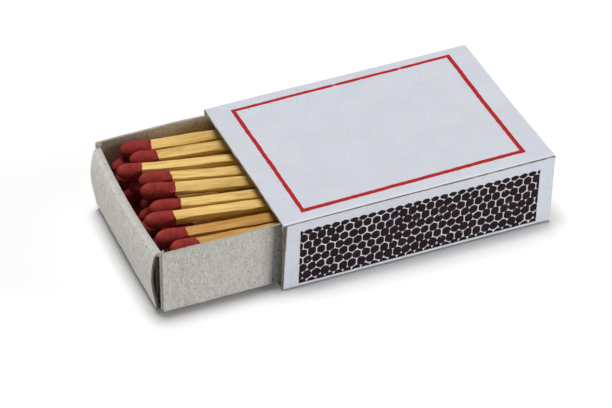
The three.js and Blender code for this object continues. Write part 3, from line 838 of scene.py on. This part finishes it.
def make_tray():
    board = grey_board("grey_board", srgb(202, 200, 195), srgb(178, 175, 169))
    # the inside's copy of the board is warmer: painted bounce light from the matches, on the same grey
    # board
    inside = grey_board("grey_board_inside_painted_bounce", srgb(205, 194, 176), srgb(178, 165, 146))
    edge = torn_board("tray_edge", srgb(194, 188, 176), srgb(142, 134, 120))
    materials = [board, inside, edge]
    floor = TRAY_BOARD / 2
    roll = END_HEIGHT - TRAY_BOARD / 2
    trough = [
        (WALL, SIDE_HEIGHT),
        (WALL, floor, TRAY_BEND),
        (-WALL, floor, TRAY_BEND),
        (-WALL, SIDE_HEIGHT),
    ]
    verts, faces, kinds = sweep(
        trough, TRAY_BOARD, CORNER_START, -CORNER_START,
        lambda point, t: tray_surface(t, point.x, point.y),
    )
    build("tray_trough", verts, faces, materials, "tray", ["tray"], kinds)

    bow = []
    for k in range(1, BOW_STEPS):
        share = k / BOW_STEPS
        out = END_BOW * math.sin(math.pi * share ** BOW_SHAPE)
        bow.append((OUTER_PLY - out, floor + share * (roll - floor)))
    strip = [
        (CORNER_START + STRIP_OVERLAP, floor),
        (OUTER_PLY, floor, TRAY_BEND),
        *bow,
        (OUTER_PLY, roll, PLY_PITCH / 2),
        (INNER_PLY, roll, PLY_PITCH / 2),
        (INNER_PLY, TRAY_BOARD + INNER_FOOT),
    ]
    strip_half = TRAY_WIDTH / 2 - END_MARGIN
    tab_top = END_HEIGHT - TRAY_BOARD - TAB_GAP
    foot = TRAY_BOARD + TAB_FOOT
    for end, turn in (("open", 1), ("inner", -1)):
        plan_bow = END_PLAN_BOW if end == "open" else 0

        def strip_place(point, t):
            out = plan_bow * (1 - (t / strip_half) ** 2) * point.y / END_HEIGHT
            return tray_surface(turn * (point.x - out), turn * t, point.y)

        verts, faces, kinds = sweep(strip, TRAY_BOARD, -strip_half, strip_half, strip_place)
        build(f"tray_end_{end}", verts, faces, materials, "tray", ["tray"], kinds)
        corner = [
            (CORNER_START + CORNER_LAP, -WALL),
            (CORNER_PLY, -WALL, TRAY_BEND),
            (CORNER_PLY + CORNER_SLANT, -strip_half - TAB_GAP),
        ]
        tab = [(TAB_PLY, TAB_START - strip_half), (TAB_PLY, TAB_LENGTH - WALL)]
        for side, where in ((1, "far"), (-1, "near")):
            torn = TORN_DROP if (end, where) == ("open", "near") else 0

            def corner_place(point, t):
                tear = torn * math.exp(-(((point.x - CORNER_PLY) / TORN_WIDTH) ** 2))
                drop = tear * (t / SIDE_HEIGHT) ** TORN_POWER
                return tray_surface(turn * point.x, -side * point.y, t - drop)

            for part, path, top in (("corner", corner, SIDE_HEIGHT), ("tab", tab, tab_top)):
                verts, faces, kinds = sweep(path, TRAY_BOARD, foot, top, corner_place)
                name = f"tray_{part}_{end}_{where}"
                build(name, verts, faces, materials, "tray", ["tray"], kinds)


def short_of(value, start, limit):
    """A value that, beyond a start, nears a limit without reaching it."""
    if value < start:
        return value
    room = limit - start
    return limit - room * math.exp((start - value) / room)


def make_fibres():
    """Torn fibres that stand up where the near wall meets the open end, flattened by the sleeve."""
    rng = np.random.default_rng(TUFT_SEED)
    ceiling = HEIGHT - SLEEVE_BOARD - TUFT_ROOM
    side = -flap_inside - TUFT_ROOM
    verts = []
    faces = []
    for _ in range(TUFT_COUNT):
        root = Vector((
            CORNER_PLY - TUFT_START + abs(rng.normal()) * TUFT_ALONG,
            -WALL + rng.normal() * TUFT_ACROSS,
            SIDE_HEIGHT - TORN_DROP * rng.uniform(*TUFT_DEPTH),
        ))
        heading = Vector((rng.normal(), rng.normal(), abs(rng.normal()))).normalized()
        curl = Vector(rng.normal(size=3)) * TUFT_CURL
        length = rng.uniform(*TUFT_LENGTH)
        radius = rng.uniform(*TUFT_RADIUS)
        base = len(verts)
        for k in range(TUFT_STEPS + 1):
            share = k / TUFT_STEPS
            along = (heading + curl * share).normalized()
            middle = root + along * length * share
            across = along.orthogonal().normalized()
            for i in range(TUFT_SIDES):
                spoke = Matrix.Rotation(i * 2 * math.pi / TUFT_SIDES, 3, along) @ across
                place = tray_surface(*(middle + spoke * radius * (1 - TUFT_TAPER * share)))
                place.y = -short_of(-place.y, -tray_low.y - TRAY_BOARD, side)
                place.z = short_of(place.z, tray_high.z - TRAY_BOARD, ceiling)
                verts.append(place)
        faces += tube(base, TUFT_STEPS + 1, TUFT_SIDES)
        faces.append(tuple(range(base, base + TUFT_SIDES)))
        faces.append(tuple(range(len(verts) - TUFT_SIDES, len(verts))))
    fibre = torn_board("torn_fibres", srgb(214, 210, 198), srgb(160, 152, 136))
    build("tray_fibres", verts, faces, [fibre], "tray", ["tray"])


def match_nodes(number):
    name = f"match_{number:02d}"
    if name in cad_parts:
        return name, name
    return name + "_head", name + "_splint"


def node_points(name):
    return np.array([v.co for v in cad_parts[name].data.vertices])


def match_place(number):
    """Where a match lies: its matrix, tip at the origin and splint along +X, its length and its head's."""
    head_node, splint_node = match_nodes(number)
    head = node_points(head_node)
    splint = node_points(splint_node)
    tip = Vector(head[head[:, 0].argmin()])
    tail_corners = splint[splint[:, 0] > splint[:, 0].max() - TAIL_DEPTH]
    tail = Vector(tail_corners.mean(axis=0))
    along = (tail - tip).normalized()
    corner = Vector(tail_corners[0]) - tail
    corner = (corner - along * corner.dot(along)).normalized()
    sides = [Matrix.Rotation((k + 0.5) * math.pi / 2, 3, along) @ corner for k in range(4)]
    up = max(sides, key=lambda side: side.z)
    across = up.cross(along)
    matrix = Matrix((along, across, up)).transposed().to_4x4()
    matrix.translation = tip
    local = (head - np.array(tip)) @ np.array(along)
    head_length = local.max() if head_node != splint_node else HEAD_LENGTH
    return matrix, (tail - tip).length, head_length


def splint_mesh(rng, start, end):
    """A split stick: four faces that waver a little along its length."""
    section = []
    for k in range(4):
        turn = Matrix.Rotation(k * math.pi / 2, 2)
        section += [turn @ Vector(point) for point in SPLINT_FACE]
    half = SPLINT_SIDE / 2 * rng.uniform(*SPLINT_SIZES, 2)
    seed = Vector(rng.uniform(0, NOISE_SPAN, 3))
    count = math.ceil((end - start) / SPLINT_STEP)
    verts = []
    for t in np.linspace(start, end, count):
        sway = noise.noise_vector(Vector((t / SPLINT_SWAY_LENGTH, 0, 0)) + seed) * SPLINT_SWAY
        for i, point in enumerate(section):
            face = i // len(SPLINT_FACE)
            at = Vector((t / SPLINT_CHIP_LENGTH, face * CHIP_FACE_STEP, i * CHIP_POINT_STEP))
            chip = noise.noise(at + seed) * SPLINT_CHIP
            y = point.x * (half[0] + chip) + sway.y
            z = point.y * (half[1] + chip) + sway.z
            verts.append((float(t), y, z))
    size = len(section)
    faces = tube(0, count, size)
    faces.append(tuple(range(size)))
    faces.append(tuple(range(len(verts) - size, len(verts))))
    return verts, faces


def head_mesh(rng, length):
    """A dipped head: a round bulb that thins out on the square splint, with a slanting, uneven shoulder."""
    seed = Vector(rng.uniform(0, NOISE_SPAN, 3))
    slant = rng.uniform(*SHOULDER_SLANT)
    toward = rng.uniform(0, 2 * math.pi)
    flat = SPLINT_SIDE / 2 + HEAD_COAT
    radius = HEAD_RADIUS * rng.uniform(*HEAD_SIZES)
    tip_angles = np.linspace(HEAD_FIRST_RING, math.pi / 2, HEAD_TIP_RINGS)
    tip_shares = (1 - np.cos(tip_angles)) * HEAD_TIP / length
    body_shares = np.linspace(HEAD_TIP / length, 1, HEAD_BODY_RINGS + 1)[1:]
    shares = np.concatenate([tip_shares, body_shares])
    verts = [(0.0, 0.0, 0.0)]
    for share in shares:
        for i in range(HEAD_SIDES):
            angle = i * 2 * math.pi / HEAD_SIDES
            across = math.cos(angle)
            up = math.sin(angle)
            shoulder = length + slant * math.cos(angle - toward) * share ** SLANT_POWER
            ragged = noise.noise(Vector((across, up, 0)) * SHOULDER_TURN + seed)
            shoulder += SHOULDER_RAGGED * share ** RAGGED_POWER * ragged
            x = share * shoulder
            tip = min(1, share * length / HEAD_TIP)
            bulb = radius * math.sqrt(max(0, 1 - (1 - tip) ** 2)) * (1 - HEAD_TAPER * share ** 2)
            corner = abs(across) ** SHOULDER_POWER + abs(up) ** SHOULDER_POWER
            square = flat * corner ** (-1 / SHOULDER_POWER)
            reach = bulb + (square - bulb) * smooth((share - NECK_START) / (1 - NECK_START))
            at = Vector((x / HEAD_LUMP_LENGTH, across * HEAD_LUMP_TURN, up * HEAD_LUMP_TURN))
            reach += HEAD_LUMP * noise.noise(at + seed) * tip
            verts.append((x, reach * across, reach * up))
    for x, y, z in verts[-HEAD_SIDES:]:
        verts.append((x + HEAD_CAP_RISE, y * HEAD_CAP, z * HEAD_CAP))
    faces = [(0, 1 + i, 1 + (i + 1) % HEAD_SIDES) for i in range(HEAD_SIDES)]
    faces += tube(1, len(shares) + 1, HEAD_SIDES)
    faces.append(tuple(range(len(verts) - HEAD_SIDES, len(verts))))
    return verts, faces


def make_matches():
    pale = splint_wood("splint_pale", srgb(246, 216, 140), srgb(226, 184, 102))
    brown = splint_wood("splint_brown", srgb(212, 162, 88), srgb(176, 124, 62))
    compound = head_compound()
    for number in range(1, MATCH_COUNT + 1):
        rng = np.random.default_rng(number)
        matrix, length, head_length = match_place(number)
        head_node, splint_node = match_nodes(number)
        wood = brown if number in BROWN_MATCHES else pale
        verts, faces = splint_mesh(rng, head_length - HEAD_SEAT, length)
        name = f"splint_{number:02d}"
        build(name, verts, faces, [wood], "tray", [splint_node], matrix=matrix)
        verts, faces = head_mesh(rng, head_length)
        name = f"head_{number:02d}"
        build(name, verts, faces, [compound], "tray", [head_node], matrix=matrix)


def make_stage():
    """White floor that keeps the shadow, with soft light from above and all round."""
    mesh = bpy.data.meshes.new("floor")
    turns = ((-1, -1), (1, -1), (1, 1), (-1, 1))
    corners = [(x * FLOOR_HALF, y * FLOOR_HALF, -FLOOR_DROP) for x, y in turns]
    mesh.from_pydata(corners, [], [(0, 1, 2, 3)])
    floor = bpy.data.objects.new("floor", mesh)
    bpy.context.scene.collection.objects.link(floor)
    look = Look("floor_paper", 0.9, 0.0)
    path = look.add("LightPath")
    seen = look.plus(path.outputs["Is Camera Ray"], path.outputs["Is Glossy Ray"])
    seen = look.plus(seen, path.outputs["Is Transmission Ray"])
    paper = look.mix(look.noise(40 * MM, 2), srgb(254, 254, 254), srgb(255, 255, 255))
    look.colour(look.mix(seen, FLOOR_BOUNCE, paper))
    look.tree.links.new(look.times(seen, FLOOR_GLOW), look.bsdf.inputs["Emission Strength"])
    look.bsdf.inputs["Emission Color"].default_value = WHITE
    mesh.materials.append(look.material)

    world = bpy.data.worlds.new("studio")
    bpy.context.scene.world = world
    world.use_nodes = True
    tree = world.node_tree
    background = tree.nodes["Background"]
    background.inputs["Color"].default_value = WHITE
    path = tree.nodes.new("ShaderNodeLightPath")
    strength = tree.nodes.new("ShaderNodeMapRange")
    strength.inputs["To Min"].default_value = SKY_LEVEL
    strength.inputs["To Max"].default_value = 1
    seen = path.outputs["Is Camera Ray"]
    for kind in ("Is Glossy Ray", "Is Transmission Ray"):
        either = tree.nodes.new("ShaderNodeMath")
        either.operation = "MAXIMUM"
        tree.links.new(seen, either.inputs[0])
        tree.links.new(path.outputs[kind], either.inputs[1])
        seen = either.outputs[0]
    tree.links.new(seen, strength.inputs["Value"])
    tree.links.new(strength.outputs["Result"], background.inputs["Strength"])

    for name, place, sizes, level in LIGHTS:
        light = bpy.data.lights.new(name, "AREA")
        light.shape = "RECTANGLE"
        light.size, light.size_y = sizes
        light.energy = level * (math.pi * place.length) ** 2
        lamp = bpy.data.objects.new(name, light)
        bpy.context.scene.collection.objects.link(lamp)
        lamp.location = place
        lamp.rotation_mode = "QUATERNION"
        lamp.rotation_quaternion = (-place).to_track_quat("-Z", "Y")


def make_camera():
    camera = bpy.data.cameras.new("camera")
    camera.sensor_width = SENSOR_WIDTH
    camera.lens = FOCAL_PIXELS * SENSOR_WIDTH / IMAGE_WIDTH
    holder = bpy.data.objects.new("camera", camera)
    bpy.context.scene.collection.objects.link(holder)
    holder.location = CAMERA_PLACE
    flat = math.cos(CAMERA_ELEVATION)
    back = Vector((
        math.sin(CAMERA_AZIMUTH) * flat,
        -math.cos(CAMERA_AZIMUTH) * flat,
        math.sin(CAMERA_ELEVATION),
    ))
    holder.rotation_mode = "QUATERNION"
    holder.rotation_quaternion = (-back).to_track_quat("-Z", "Y")
    bpy.context.scene.camera = holder


noise.seed_set(NOISE_SEED)
make_sleeve()
make_border()
make_strikers()
make_tray()
make_fibres()
make_matches()
make_stage()
make_camera()
bpy.context.scene.view_settings.view_transform = "Standard"
